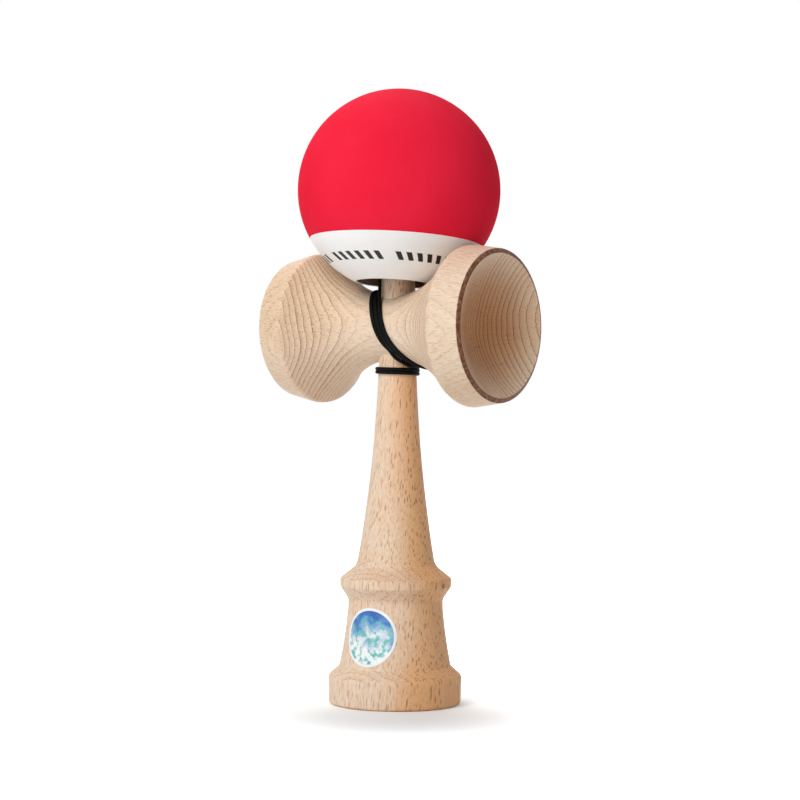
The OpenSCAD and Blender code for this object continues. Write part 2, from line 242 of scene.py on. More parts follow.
def add_node(tree, kind, values, **options):
    """New shader node with its options and sockets set."""
    node = tree.nodes.new("ShaderNode" + kind)
    for option, choice in options.items():
        setattr(node, option, choice)
    fill(tree, node, values)
    return node


def calc(tree, operation, *terms):
    """Output of a maths node."""
    return add_node(tree, "Math", dict(enumerate(terms)), operation=operation).outputs[0]


def ramp(tree, value, low, high, to_low=0.0, to_high=1.0):
    """Value eased from one range to another, and held beyond it."""
    values = {"Value": value, "From Min": low, "From Max": high, "To Min": to_low, "To Max": to_high}
    return add_node(tree, "MapRange", values, interpolation_type="SMOOTHSTEP").outputs[0]


def mixed(tree, share, first, second, blend_type="MIX"):
    """Colour between two colours."""
    values = {0: share, 6: first, 7: second}
    return add_node(tree, "Mix", values, data_type="RGBA", blend_type=blend_type).outputs[2]


def noise(tree, vector, scale, detail=2.0):
    """Output of a noise texture, from 0 to 1."""
    return add_node(tree, "TexNoise", {"Vector": vector, "Scale": scale, "Detail": detail}).outputs[0]


def on_piece(tree):
    """Place on the piece, in metres."""
    return add_node(tree, "TexCoord", {}).outputs["Object"]


def bump(tree, height, strength, depth):
    """Normal of a surface that a height roughens by up to a depth."""
    return add_node(tree, "Bump", {"Strength": strength, "Distance": depth, "Height": height}).outputs[0]


bend_aways = [[0, 0, 1], [0, 0.2, 1], [0, 0.6, 0.8], [0, 0.9, 0.4]]
hole_aways = bend_aways + [[0, 1, 0]] * (len(hole_route) - len(bend_aways))
link_away = [0.8, -0.6, -0.2]
run_away = [-0.6, -0.8, 0]
bead_middle = np.array([0, 0, ball_z]) + np.array(pole) * bead_rise
hole_middle_y = 2
start_route = [[0, knot_face_y, cross_z], [0, hole_middle_y, cross_z]]
end_route = [bead_middle + np.array(pole) * rise for rise in (-bead_r, 0, bead_flat)]
string_keys = [[*p, 0, 0, 1, round_share] for p in start_route]
string_keys += [[*p, *away, round_share] for p, away in zip(hole_route, hole_aways)]
string_keys += [ring_key(turn) for turn in ring_turns]
string_keys += [[*p, *link_away, round_share] for p in link_route]
string_keys += [lane_key(turn) for turn in lane_turns]
string_keys += [[*p, *run_away, round_share] for p in run_route]
string_keys += [[*p, *run_away, round_share] for p in end_route]
steps_between = 8
string, string_line = braided_tube("string", smooth(string_keys, steps_between), string_d, closed=False)

string_finish, string_tree, string_shader = finish_of("black_braid")
braid = add_node(string_tree, "Attribute", {}, attribute_name="braid").outputs["Fac"]
fuzz_scale = 9000.0
fuzz_depth = 0.00006
braid_sheen_shares = (-0.6, 0.9)
fuzz_rough_shares = (0.2, 0.8, 0.5, 0.75)
fuzz = noise(string_tree, on_piece(string_tree), fuzz_scale)
# Painted sheen: the crests of the braid are coloured a little lighter, in a pattern broken up by fine fuzz.
painted_braid_sheen = calc(string_tree, "MULTIPLY", ramp(string_tree, braid, *braid_sheen_shares), fuzz)
fill(string_tree, string_shader, {
    "Base Color": mixed(string_tree, painted_braid_sheen, paint("030303"), paint("0F0E0E")),
    "Roughness": ramp(string_tree, fuzz, *fuzz_rough_shares),
    "Specular IOR Level": 0.08,
    "Sheen Weight": 0.02,
    "Sheen Roughness": 0.4,
    "Normal": bump(string_tree, fuzz, strength=0.5, depth=fuzz_depth),
})
string.data.materials.append(string_finish)


def knot(name, middle, axis, diameter, length):
    """Tight knot of the same cord, as wide and as long as its solid."""
    along = Vector(axis).normalized()
    across = along.orthogonal().normalized()
    aside = along.cross(across)
    reach = (diameter - string_d) / 2
    lift = (length - string_d) / 2
    tilt_share = 0.3
    points = 91
    keys = []
    for t in np.linspace(0, 2 * math.pi, points):
        x = reach * (math.sin(t) + 2 * math.sin(2 * t)) / 3
        y = reach * (math.cos(t) - 2 * math.cos(2 * t)) / 3
        away = across * x + aside * y + along * (tilt_share * reach)
        point = Vector(middle) + across * x + aside * y - along * lift * math.sin(3 * t)
        keys.append([*point, *away, round_share])
    piece, _ = braided_tube(name, np.array(keys), string_d, closed=True)
    piece.data.materials.append(string_finish)
    return piece


knot_d = 3.8
knot_len = 2.2
end_knot_d = 2.4
end_knot_len = 2.0
tied_in_ken = knot("tied_in_ken", (0, knot_face_y - knot_len / 2, cross_z), (0, 1, 0), knot_d, knot_len)
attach(tied_in_ken, "ken")
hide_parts("ken_knot")
tied_on_bead = knot("tied_on_bead", bead_middle + np.array(pole) * (bead_flat + end_knot_len / 2), pole,
                    end_knot_d, end_knot_len)
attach(tied_on_bead, "bead")
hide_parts("bead_knot")

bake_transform(string)
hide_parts("string_winding", "string_run")


# Ken
# The stick that is held: a spike, a hollowed grip, a belt, a waist and a flange with a cup under it.
# It is turned from one length of beech with the fibre along it, and fine sanded.
tip_z = ball_z + 6.3
wedge_low_z = cross_z - neck_r
wedge_high_z = cross_z + neck_r
tip_r = 2.2
tip_round = 1.6
spike_r = 5.2
grip_top_r = 5.5
grip_foot_r = 11.55
grip_foot_z = 40.9
grip_hollow = 1.08
grip_fillet = 4.5
belt_r = 16.45
belt_top_z = 37.0
belt_h = 2.4
belt_round = 0.9
waist_r = 14.0
waist_z = 30.9
waist_fillet = 2.5
waist_hollow = 0.25
crease_r = 16.5
crease_z = 11.2
crease_round = 0.3
flange_r = 19.75
flange_h = 8.3
flange_round = 1.8
flange_draw = 0.3
rim_round = 1.0
base_lip_r = 17.4
lip_round = 0.35
base_dish_r = 24.0


def corner_arc(before, corner, after, steps):
    """Arc that rounds a corner of radius, height and rounding between its neighbours."""
    at = np.array(corner[:2], float)
    back, on = np.array(before[:2]) - at, np.array(after[:2]) - at
    back_len, on_len = np.linalg.norm(back), np.linalg.norm(on)
    back, on = back / back_len, on / on_len
    half = math.acos(max(-1, min(1, back @ on))) / 2
    most_share = 0.48
    r = min(corner[2], most_share * min(back_len, on_len) * math.tan(half))
    middle = at + (back + on) / np.linalg.norm(back + on) * r / math.sin(half)
    start, end = at + back * r / math.tan(half) - middle, at + on * r / math.tan(half) - middle
    first = math.atan2(start[1], start[0])
    sweep = math.remainder(math.atan2(end[1], end[0]) - first, 2 * math.pi)
    turns = [first + sweep * i / steps for i in range(steps + 1)]
    return [middle + r * np.array([math.cos(t), math.sin(t)]) for t in turns]


def rounded(corners, steps=10):
    """Outline through corners, each rounded by its own radius."""
    line = []
    for i, corner in enumerate(corners):
        if corner[2] == 0:
            line.append(np.array(corner[:2], float))
        else:
            line += corner_arc(corners[i - 1], corner, corners[i + 1], steps)
    return line


def bowed(start, end, sag, steps=40):
    """Sharp corners along an arc that stands off its chord by sag, to the left if positive."""
    a, b = np.array(start, float), np.array(end, float)
    chord = np.linalg.norm(b - a)
    along = (b - a) / chord
    across = np.array([-along[1], along[0]]) * math.copysign(1, sag)
    r = (chord ** 2 / 4 + sag ** 2) / (2 * abs(sag))
    half = math.asin(chord / (2 * r))
    turns = [half * (2 * i / steps - 1) for i in range(steps + 1)]
    drop = math.cos(half)
    line = [(a + b) / 2 + along * r * math.sin(t) + across * r * (math.cos(t) - drop) for t in turns]
    return [(*p, 0) for p in line]


def dished(lip_r, lip_z, r, steps=48):
    """Sharp corners from the lip of a dish to its deepest point, as radius and depth."""
    reach = math.asin(lip_r / r)
    drop = math.cos(reach)
    return [(r * math.sin(reach * i / steps), lip_z + r * (math.cos(reach * i / steps) - drop), 0)
            for i in range(steps, -1, -1)]


def turned(name, outline, base, axis, sides=192):
    """Piece turned about an axis from an outline of radius and height, from its top down."""
    least_r = 1e-6
    near_y_share = 0.9
    along = Vector(axis).normalized()
    across = Vector((0, 1, 0)) if abs(along.y) < near_y_share else Vector((1, 0, 0))
    across = (across - along * across.dot(along)).normalized()
    aside = along.cross(across)
    round_about = [across * math.cos(2 * math.pi * k / sides) + aside * math.sin(2 * math.pi * k / sides)
                   for k in range(sides)]
    corners, rings, faces = [], [], []
    for radius, height in outline:
        middle = Vector(base) + along * height
        count = sides if radius > least_r else 1
        rings.append([len(corners) + k % count for k in range(sides)])
        corners += [(middle + round_about[k] * radius) * mm for k in range(count)]
    closed = outline[0][0] > least_r and outline[-1][0] > least_r
    for upper, lower in zip(rings, rings[1:] + rings[:1] if closed else rings[1:]):
        for k in range(sides):
            n = (k + 1) % sides
            quad = dict.fromkeys((upper[k], lower[k], lower[n], upper[n]))
            faces.append(tuple(quad))
    mesh = bpy.data.meshes.new(name)
    mesh.from_pydata(corners, [], faces)
    piece = bpy.data.objects.new(name, mesh)
    bpy.context.scene.collection.objects.link(piece)
    return piece


def sanded(piece):
    """Smooth shading, with edges left where the surface turns sharply."""
    sharp_turn = math.radians(38)
    piece.data.shade_smooth()
    piece.data.set_sharp_from_angle(angle=sharp_turn)


def bar(name, r, from_y, to_y):
    """Round bar along Y at the height of the string's hole."""
    sides = 48
    return turned(name, [(0, to_y), (r, to_y), (r, from_y), (0, from_y)], (0, 0, cross_z), (0, 1, 0), sides)


def cut(piece, *cutters):
    """Takes the cutters out of a piece and deletes them."""
    for cutter in cutters:
        difference = piece.modifiers.new(cutter.name, "BOOLEAN")
        difference.operation = "DIFFERENCE"
        difference.solver = "EXACT"
        difference.object = cutter
    left = bpy.data.meshes.new_from_object(piece.evaluated_get(bpy.context.evaluated_depsgraph_get()))
    piece.modifiers.clear()
    piece.data = left
    for cutter in cutters:
        bpy.data.objects.remove(cutter)


def beech(name, order, pith, ring_gap, ring_fade, tones, ring_share, fleck_share,
          painted_light_way=(0, 0, 0), lean=0.0):
    """Beech in three dimensions. order gives the axes along the rays, across them and along the fibre;
    pith is where the rings have their middle, on the first two; tones are pale, tan, late ring, fleck and
    end grain; painted_light_way is the direction in which the wood is painted from pale on its lit side to
    tan on its shaded side, by its share per millimetre; lean is the slant of the fibre, across the rays."""
    made, tree, shader = finish_of(name)
    pale, tan, late, fleck, end = [paint(tone) for tone in tones]
    coords = add_node(tree, "TexCoord", {})
    axes = add_node(tree, "SeparateXYZ", {0: coords.outputs["Object"]}).outputs
    reach = abs(pith[0])

    def times(value, by):
        return calc(tree, "MULTIPLY", value, by)

    def less(value, by):
        return calc(tree, "SUBTRACT", value, by)

    # Place in the log: the distance from the pith, the way around it and along the fibre
    noise_middle = 0.5
    sway_scale = 0.045
    sway_reach = 5.0
    sway_fibre_share = 0.3
    ray_way, cross_way, fibre = [times(axes[i], 1 / mm) for i in order]
    slow_fibre = times(fibre, sway_fibre_share)
    place = add_node(tree, "CombineXYZ", {0: ray_way, 1: cross_way, 2: slow_fibre}).outputs[0]
    sway = times(less(noise(tree, place, sway_scale), noise_middle), sway_reach)
    from_pith = calc(tree, "ADD", less(ray_way, pith[0]), sway)
    aside = less(less(cross_way, pith[1]), times(fibre, lean))
    radius = calc(tree, "SQRT", calc(tree, "ADD", times(from_pith, from_pith), times(aside, aside)))
    around = times(calc(tree, "ARCTAN2", aside, calc(tree, "ABSOLUTE", from_pith)), reach)

    def stretched(per_mm):
        terms = [times(way, by) for way, by in zip((radius, around, fibre), per_mm)]
        return add_node(tree, "CombineXYZ", dict(enumerate(terms))).outputs[0]

    def grain(per_mm, detail):
        return noise(tree, stretched(per_mm), scale=1.0, detail=detail)

    def cells(per_mm):
        return add_node(tree, "TexVoronoi", {"Vector": stretched(per_mm), "Scale": 1.0}).outputs

    # Growth rings, each darker towards its late edge and some years darker than others
    jag_per_mm = (0.25, 1.3, 0.22)
    jag_share = 0.3
    late_power = 1.9
    season_shares = (0.35, 1.0)
    line_rise_shares = (0.86, 0.97)
    line_fall_shares = (1.0, 0.975)
    jag = times(grain(jag_per_mm, detail=3.0), jag_share)
    growth = calc(tree, "EXPONENT", calc(tree, "DIVIDE", less(radius, reach), ring_fade))
    phase = calc(tree, "ADD", times(growth, ring_fade / ring_gap), jag)
    ring = calc(tree, "FRACT", phase)
    year = add_node(tree, "TexWhiteNoise", {"W": calc(tree, "FLOOR", phase)}, noise_dimensions="1D")
    season = ramp(tree, year.outputs["Value"], 0.0, 1.0, *season_shares)
    late_wood = times(calc(tree, "POWER", ring, late_power), season)
    line = times(ramp(tree, ring, *line_rise_shares), ramp(tree, ring, *line_fall_shares))

    # Broad tone, partly painted light and shade, streaks, pores, and the flecks of the rays in two sizes
    broad_per_mm = (0.05, 0.05, 0.012)
    streak_per_mm = (1.6, 1.6, 0.05)
    pores_per_mm = (3.5, 3.5, 0.5)
    spots_per_mm = (1.5, 1.9, 0.22)
    dashes_per_mm = (2.0, 2.4, 0.5)
    spot_shares = (0.42, 0.2)
    pick_shares = (0.1, 0.7)
    dash_shares = (0.3, 0.12)
    dash_share = 0.45
    # Painted light: the broad tone is pushed from pale towards tan along a set direction, pale where the
    # light falls and tan on the shaded side.
    painted_light_slope = add_node(tree, "VectorMath", {0: coords.outputs["Object"], 1: Vector(painted_light_way) / mm},
                    operation="DOT_PRODUCT").outputs["Value"]
    tone_and_painted_light = calc(tree, "ADD", grain(broad_per_mm, detail=1.0), painted_light_slope)
    streak = grain(streak_per_mm, detail=3.0)
    pores = grain(pores_per_mm, detail=2.0)
    large = cells(spots_per_mm)
    pick = add_node(tree, "SeparateXYZ", {0: large["Color"]}).outputs
    spot = times(ramp(tree, large["Distance"], *spot_shares), ramp(tree, pick[0], *pick_shares))
    dash = times(ramp(tree, cells(dashes_per_mm)["Distance"], *dash_shares), dash_share)
    ray = calc(tree, "MAXIMUM", spot, dash)

    # End grain, where the surface faces along the fibre
    end_shares = (0.72, 1.0)
    slant_shares = (0.15, 0.65)
    slant_ring_shares = (0.2, 1.0)
    ray_lines_per_mm = (0.1, 2.4, 0.02)
    ray_line_shares = (0.58, 0.72)
    ray_line_share = 0.4
    facing = add_node(tree, "SeparateXYZ", {0: coords.outputs["Normal"]}).outputs[order[2]]
    end_on = calc(tree, "ABSOLUTE", facing)
    end_grain = ramp(tree, end_on, *end_shares)
    ring_seen = times(ramp(tree, end_on, *slant_shares, *slant_ring_shares), ring_share)
    ray_lines = grain(ray_lines_per_mm, detail=2.0)
    ray_line = times(ramp(tree, ray_lines, *ray_line_shares), ray_line_share)
    end_line = calc(tree, "MAXIMUM", line, ray_line)

    # Colour, from the broad tone to the finest marks, and the finish of fine sanding
    broad_shares = (0.2, 0.8)
    streak_shares = (0.35, 0.75, 0.0, 0.5)
    pore_shares = (0.5, 0.75, 0.0, 0.35)
    fleck_shares = (0.5, 1.0)
    rough_shares = (0.3, 0.7, 0.5, 0.62)
    sunk_ray_share = -0.6
    sunk_pore_share = -0.4
    grain_depth = 0.00005
    colour = mixed(tree, ramp(tree, tone_and_painted_light, *broad_shares), pale, tan)
    colour = mixed(tree, times(late_wood, ring_seen), colour, late)
    colour = mixed(tree, times(line, ring_seen), colour, late, "MULTIPLY")
    colour = mixed(tree, ramp(tree, streak, *streak_shares), colour, tan)
    colour = mixed(tree, ramp(tree, pores, *pore_shares), colour, late, "MULTIPLY")
    fleck_seen = times(ramp(tree, tone_and_painted_light, *broad_shares, *fleck_shares), fleck_share)
    colour = mixed(tree, times(ray, fleck_seen), colour, fleck)
    colour = mixed(tree, end_grain, colour, end, "MULTIPLY")
    colour = mixed(tree, times(end_grain, end_line), colour, late, "MULTIPLY")
    height = calc(tree, "ADD", times(ray, sunk_ray_share), times(pores, sunk_pore_share))
    fill(tree, shader, {
        "Base Color": colour,
        "Roughness": ramp(tree, streak, *rough_shares),
        "Specular IOR Level": 0.35,
        "Normal": bump(tree, height, strength=0.35, depth=grain_depth),
    })
    return made, tree, shader


grip_left_out = 4
grip = bowed((grip_top_r, wedge_low_z), (grip_foot_r, grip_foot_z), -grip_hollow)[:-grip_left_out]
waist = bowed((waist_r, waist_z - waist_fillet), (crease_r, crease_z), -waist_hollow)
ken_corners = [(0, tip_z, 0), (tip_r, tip_z, tip_round), (spike_r, wedge_high_z, 0), *grip,
               (grip_foot_r, grip_foot_z, grip_fillet), (belt_r, belt_top_z, belt_round),
               (belt_r, belt_top_z - belt_h, belt_round), (waist_r, waist_z, waist_fillet),
               *waist[:-1], (crease_r, crease_z, crease_round), (flange_r, flange_h, flange_round),
               (flange_r - flange_draw, 0, rim_round), (base_lip_r, 0, lip_round),
               *dished(base_lip_r, 0, base_dish_r)[1:]]
ken = turned("turned_ken", rounded(ken_corners), (0, 0, 0), (0, 0, 1))
string_hole_r = 1.5
pocket_r = 2.2
overrun = 1.0
string_hole = bar("hole", string_hole_r, knot_face_y - overrun, neck_r)
cut(ken, string_hole, bar("pocket", pocket_r, -neck_r, knot_face_y))
sanded(ken)
# Painted light: the ken's beech is painted pale on the key light's side and tan on the side away from it.
ken_finish, ken_tree, ken_shader = beech(
    "ken_beech", order=(1, 0, 2), pith=(70, -4), ring_gap=2.2, ring_fade=60.0,
    tones=("E9D6C0", "E4AF7C", "BE8A5C", "8A5427", "E8CDB2"), ring_share=0.35, fleck_share=0.8,
    painted_light_way=(0.018, 0.013, 0), lean=0.1)
pin_knot = Vector((16.4, 1.1, 35.4)) * mm
pin_knot_r = 1.1
pin_knot_core_r = 0.4
pin_knot_share = 0.8
knot_far = add_node(ken_tree, "VectorMath", {0: on_piece(ken_tree), 1: pin_knot},
                    operation="DISTANCE").outputs["Value"]
knot_seen = ramp(ken_tree, knot_far, pin_knot_r * mm, pin_knot_core_r * mm, 0.0, pin_knot_share)
ken_colour = ken_shader.inputs["Base Color"].links[0].from_socket
fill(ken_tree, ken_shader, {"Base Color": mixed(ken_tree, knot_seen, ken_colour, paint("6B3F20"))})
ken.data.materials.append(ken_finish)
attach(ken, "ken")
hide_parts("ken")


# Cross piece
# The waisted bar with a cup at each end, turned from beech with the fibre along it, so that both dishes
# show end grain. It is bored for the ken and pushed on its taper, and the tool's rub has browned the rims.
big_rim_r = 22.25
small_rim_r = 20.75
rim_x = 36.1
shoulder_round = 2.4
flare_steps = 40
shoulder_steps = 3
bevel_w = 1.15
bevel_h = 0.6
bevel_round = 0.25
ball_r = 30.0
dish_r = ball_r + bevel_w
wedge_gap = 0.05


def cup_corners(cup_r, cup_x, cup_rim_r):
    """Corners of one half, from the deepest point of the dish over the rim to the neck."""
    lip_r = cup_rim_r - bevel_w - bevel_round
    lip_x = rim_x + bevel_h
    dish = [(r, 2 * lip_x - x, 0) for r, x, _ in dished(lip_r, lip_x, dish_r)]
    return [*dish[::-1], (cup_rim_r - bevel_w, lip_x, bevel_round), (cup_rim_r, rim_x, bevel_round),
            (cup_r, cup_x, shoulder_round)]


def flare_corners(to_x):
    """Sharp corners along a flare, from beside its shoulder to the middle of the neck."""
    places = [to_x * i / flare_steps for i in range(flare_steps - shoulder_steps, -1, -1)]
    return [(flare(x)[0], x, 0) for x in places]


small_half = [(r, -x, rounding) for r, x, rounding in cup_corners(small_r, small_x, small_rim_r)]
cross_corners = cup_corners(big_r, big_x, big_rim_r) + flare_corners(big_x)
cross_corners += (small_half + flare_corners(-small_x)[:-1])[::-1]
cross = turned("turned_cross_piece", rounded(cross_corners), (0, 0, cross_z), (1, 0, 0))


def seat_r(z):
    """Radius of the wedged taper at a height."""
    return grip_top_r + (spike_r - grip_top_r) * (z - wedge_low_z) / (2 * neck_r)


bore_sides = 96
bore_top = wedge_high_z + overrun
bore_foot = wedge_low_z - overrun
bore_outline = [(0, bore_top), (seat_r(bore_top) + wedge_gap, bore_top),
                (seat_r(bore_foot) + wedge_gap, bore_foot), (0, bore_foot)]
bore = turned("bore", bore_outline, (0, 0, 0), (0, 0, 1), bore_sides)
cut(cross, bore, bar("hole", string_hole_r, 0, neck_r + overrun))
sanded(cross)
pith_rise = 4
cross_finish, cross_tree, cross_shader = beech(
    "cup_beech", order=(1, 2, 0), pith=(85, cross_z + pith_rise), ring_gap=1.6, ring_fade=60.0,
    tones=("ECD8C2", "E4C8A8", "AE7C53", "9C6E47", "D4A97E"), ring_share=0.9, fleck_share=0.4)
burn_before = 0.02
burn_beyond = 0.2
burn_facing_shares = (-0.2, 0.1)
wander_scale = 1500.0
wander = 0.0002
scorch_scale = 900.0
scorch_shares = (0.3, 0.6, 0.65, 1.0)
cross_coords = add_node(cross_tree, "TexCoord", {}).outputs
cross_place = cross_coords["Object"]


def on_cross(operation, *vectors):
    """Outputs of a vector maths node of the cross piece's finish."""
    return add_node(cross_tree, "VectorMath", dict(enumerate(vectors)), operation=operation).outputs


along_bar = add_node(cross_tree, "SeparateXYZ", {0: cross_place}).outputs[0]
edge = calc(cross_tree, "ADD", calc(cross_tree, "ABSOLUTE", along_bar),
            calc(cross_tree, "MULTIPLY", noise(cross_tree, cross_place, wander_scale), wander))
from_axis = on_cross("SUBTRACT", cross_place, Vector((0, 0, cross_z)) * mm)["Vector"]
from_axis = on_cross("MULTIPLY", from_axis, Vector((0, 1, 1)))["Vector"]
outward = on_cross("NORMALIZE", from_axis)["Vector"]
faces_out = on_cross("DOT_PRODUCT", outward, cross_coords["Normal"])["Value"]
burn = calc(cross_tree, "MULTIPLY",
            ramp(cross_tree, edge, (rim_x - burn_before) * mm, (rim_x + burn_beyond) * mm),
            ramp(cross_tree, faces_out, *burn_facing_shares))
scorch = ramp(cross_tree, noise(cross_tree, cross_place, scorch_scale, detail=3.0), *scorch_shares)
burnt = calc(cross_tree, "MULTIPLY", burn, scorch)
wood_colour = cross_shader.inputs["Base Color"].links[0].from_socket
fill(cross_tree, cross_shader, {"Base Color": mixed(cross_tree, burnt, wood_colour, paint("5E2C0A"))})
cross.data.materials.append(cross_finish)
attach(cross, "ken")
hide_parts("cross_piece")


# Ball
# A beech ball, drilled from below for the spike and pierced at the top. Its lower part is painted white
# with a printed ring of marks, and the upper part is dipped in soft red rubber, whose edge stands proud.
core_r = 29.6
white_r = 29.94
white_drop = 15.7
mouth_r = 11.2
eye_sink_r = 2.6
coat_sides = 256
ball_middle = (0, 0, ball_z)


def zone(outer_r, inner_r, top_turn, low_turn, top_round, low_round, steps):
    """Outline of a thin zone of the ball between two angles from its top, down outside and up inside."""
    edge_steps = 6
    span = [top_turn + (low_turn - top_turn) * i / steps for i in range(steps + 1)]
    outside = [(outer_r * math.sin(t), outer_r * math.cos(t), 0) for t in span]
    inside = [(inner_r * math.sin(t), inner_r * math.cos(t), 0) for t in span[::-1]]
    outside[0] = (*outside[0][:2], top_round)
    outside[-1] = (*outside[-1][:2], low_round)
    corners = [inside[-1], *outside, *inside[:-1]]
    return rounded(corners, edge_steps)[1:] + [np.array(inside[-1][:2])]


red_top = math.asin(eye_sink_r / ball_r)
red_foot = math.acos(-white_drop / ball_r)
red_eye_round = 0.2
red_edge_round = 0.12
red_steps = 96
red_outline = zone(ball_r, core_r, red_top, red_foot, red_eye_round, red_edge_round, red_steps)
red_coat = turned("rubber_coat", red_outline, ball_middle, pole, coat_sides)
sanded(red_coat)
red_finish, red_tree, red_shader = finish_of("red_rubber")
cloud_scale = 45.0
cloud_shares = (0.3, 0.7)
red_rough_shares = (0.25, 0.75, 0.75, 0.85)
grain_scale = 2600.0
grain_shares = (0.55, 0.8, 0.0, 0.2)
coat_depth = 0.00004
red_place = on_piece(red_tree)
cloud = noise(red_tree, red_place, cloud_scale, detail=3.0)
rubber_grain = noise(red_tree, red_place, grain_scale, detail=2.0)
red_colour = mixed(red_tree, ramp(red_tree, cloud, *cloud_shares), paint("F12540"), paint("EC1F3A"))
grain_seen = ramp(red_tree, rubber_grain, *grain_shares)
fill(red_tree, red_shader, {
    "Base Color": mixed(red_tree, grain_seen, red_colour, paint("F53C56")),
    "Roughness": ramp(red_tree, cloud, *red_rough_shares),
    "Specular IOR Level": 0.05,
    "Normal": bump(red_tree, rubber_grain, strength=0.12, depth=coat_depth),
})
red_coat.data.materials.append(red_finish)
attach(red_coat, "ball")
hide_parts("red_coat")

white_lap = 0.003
white_edge_round = 0.05
mouth_round = 0.3
white_steps = 48
white_top = math.acos(-white_drop / white_r) - white_lap
white_foot = math.pi - math.asin(mouth_r / white_r)
white_outline = zone(white_r, core_r, white_top, white_foot, white_edge_round, mouth_round, white_steps)
white_coat = turned("white_paint", white_outline, ball_middle, pole, coat_sides)
sanded(white_coat)
white_finish, white_tree, white_shader = finish_of("white_paint")
marks_in_round = 42
marks_in_group = 7
first_mark = 6.3
mark_low_share = 0.2
mark_high_share = 0.74
mark_slant = 0.2
ring_drop = -22.0
ring_half = 1.08
ring_soft = 0.06
marks_left_out = 1
blank_from = marks_in_group - marks_left_out - 0.5
white_place = on_piece(white_tree)
from_middle = add_node(white_tree, "VectorMath", {0: white_place, 1: Vector(ball_middle) * mm},
                       operation="SUBTRACT")
ball_across = Vector((1, 0, 0))
ball_aside = pole.cross(ball_across)


def along_way(way):
    """Distance from the ball's middle along a direction, in millimetres."""
    return add_node(white_tree, "VectorMath", {0: from_middle.outputs[0], 1: way / mm},
                    operation="DOT_PRODUCT").outputs["Value"]


rise = calc(white_tree, "SUBTRACT", along_way(pole), ring_drop)
turn = calc(white_tree, "ARCTAN2", along_way(ball_aside), along_way(ball_across))
marks_per_turn = marks_in_round / (2 * math.pi)
count = calc(white_tree, "MULTIPLY", calc(white_tree, "ADD", turn, math.pi), marks_per_turn)
count = calc(white_tree, "ADD", count, first_mark)
count = calc(white_tree, "ADD", count, calc(white_tree, "MULTIPLY", rise, mark_slant))
within = calc(white_tree, "FRACT", count)
soft_share = 0.02
bar_mask = calc(white_tree, "MULTIPLY",
                ramp(white_tree, within, mark_low_share, mark_low_share + soft_share),
                ramp(white_tree, within, mark_high_share, mark_high_share - soft_share))
whole = calc(white_tree, "ADD", calc(white_tree, "FLOOR", count), 2 * marks_in_group)
in_group = calc(white_tree, "MODULO", whole, marks_in_group)
bar_mask = calc(white_tree, "MULTIPLY", bar_mask, calc(white_tree, "LESS_THAN", in_group, blank_from))
in_ring = ramp(white_tree, calc(white_tree, "ABSOLUTE", rise), ring_half, ring_half - ring_soft)
ink = calc(white_tree, "MULTIPLY", bar_mask, in_ring)
chalk_scale = 60.0
chalk_shares = (0.3, 0.7)
white_rough_shares = (0.25, 0.75, 0.42, 0.55)
peel_scale = 1400.0
chalk = noise(white_tree, white_place, chalk_scale, detail=3.0)
orange_peel = noise(white_tree, white_place, peel_scale, detail=2.0)
chalk_seen = ramp(white_tree, chalk, *chalk_shares)
white_colour = mixed(white_tree, chalk_seen, paint("FAFAFA"), paint("F6F5F4"))
fill(white_tree, white_shader, {
    "Base Color": mixed(white_tree, ink, white_colour, paint("131211")),
    "Roughness": ramp(white_tree, chalk, *white_rough_shares),
    "Specular IOR Level": 0.35,
    "Normal": bump(white_tree, orange_peel, strength=0.1, depth=coat_depth),
})
white_coat.data.materials.append(white_finish)
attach(white_coat, "ball")
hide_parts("white_coat")

# Painted shade: the ball's beech has much darker tones than the other beech, as the shade inside the
# spike's hole, over the grain of the wood.
core_finish_with_painted_shade, *_ = beech(
    "ball_beech_with_painted_shade", order=(0, 1, 2), pith=(-60, 0), ring_gap=2.4, ring_fade=60.0,
    tones=("603822", "54301C", "3C2012", "28140A", "5E3C26"), ring_share=0.5, fleck_share=0.5)
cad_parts["ball_core"].material_slots[0].material = core_finish_with_painted_shade


# Bead
# The wooden bead that keeps the string in the ball, turned from a beech rod and bored for the string.
bead_finish, *_ = beech(
    "bead_beech", order=(0, 1, 2), pith=(-30, 0), ring_gap=1.4, ring_fade=60.0,
    tones=("E3C7A4", "D2A87C", "B07C50", "7A4A26", "C69C74"), ring_share=0.5, fleck_share=0.5)
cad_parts["bead"].material_slots[0].material = bead_finish


# Sticker
# A round printed foil on the waist of the ken, pressed on by hand, with a cloudy print of blues and white
# and a narrow white edge.
sticker_r = 8.5
sticker_z = 20.6
sticker_turn = math.radians(5)
sticker_under = 0.02
sticker_over = 0.16
sticker_edge_share = 0.004
sticker_edge_drop = 0.04
waist_heights = [p[1] for p in waist][::-1]
waist_radii = [p[0] for p in waist][::-1]


def on_waist(across, up, lift):
    """Point over the waist, from lengths along it and up it."""
    z = sticker_z + up
    r = float(np.interp(z, waist_heights, waist_radii))
    angle = sticker_turn + across / r
    return Vector(((r + lift) * math.sin(angle), -(r + lift) * math.cos(angle), z)) * mm


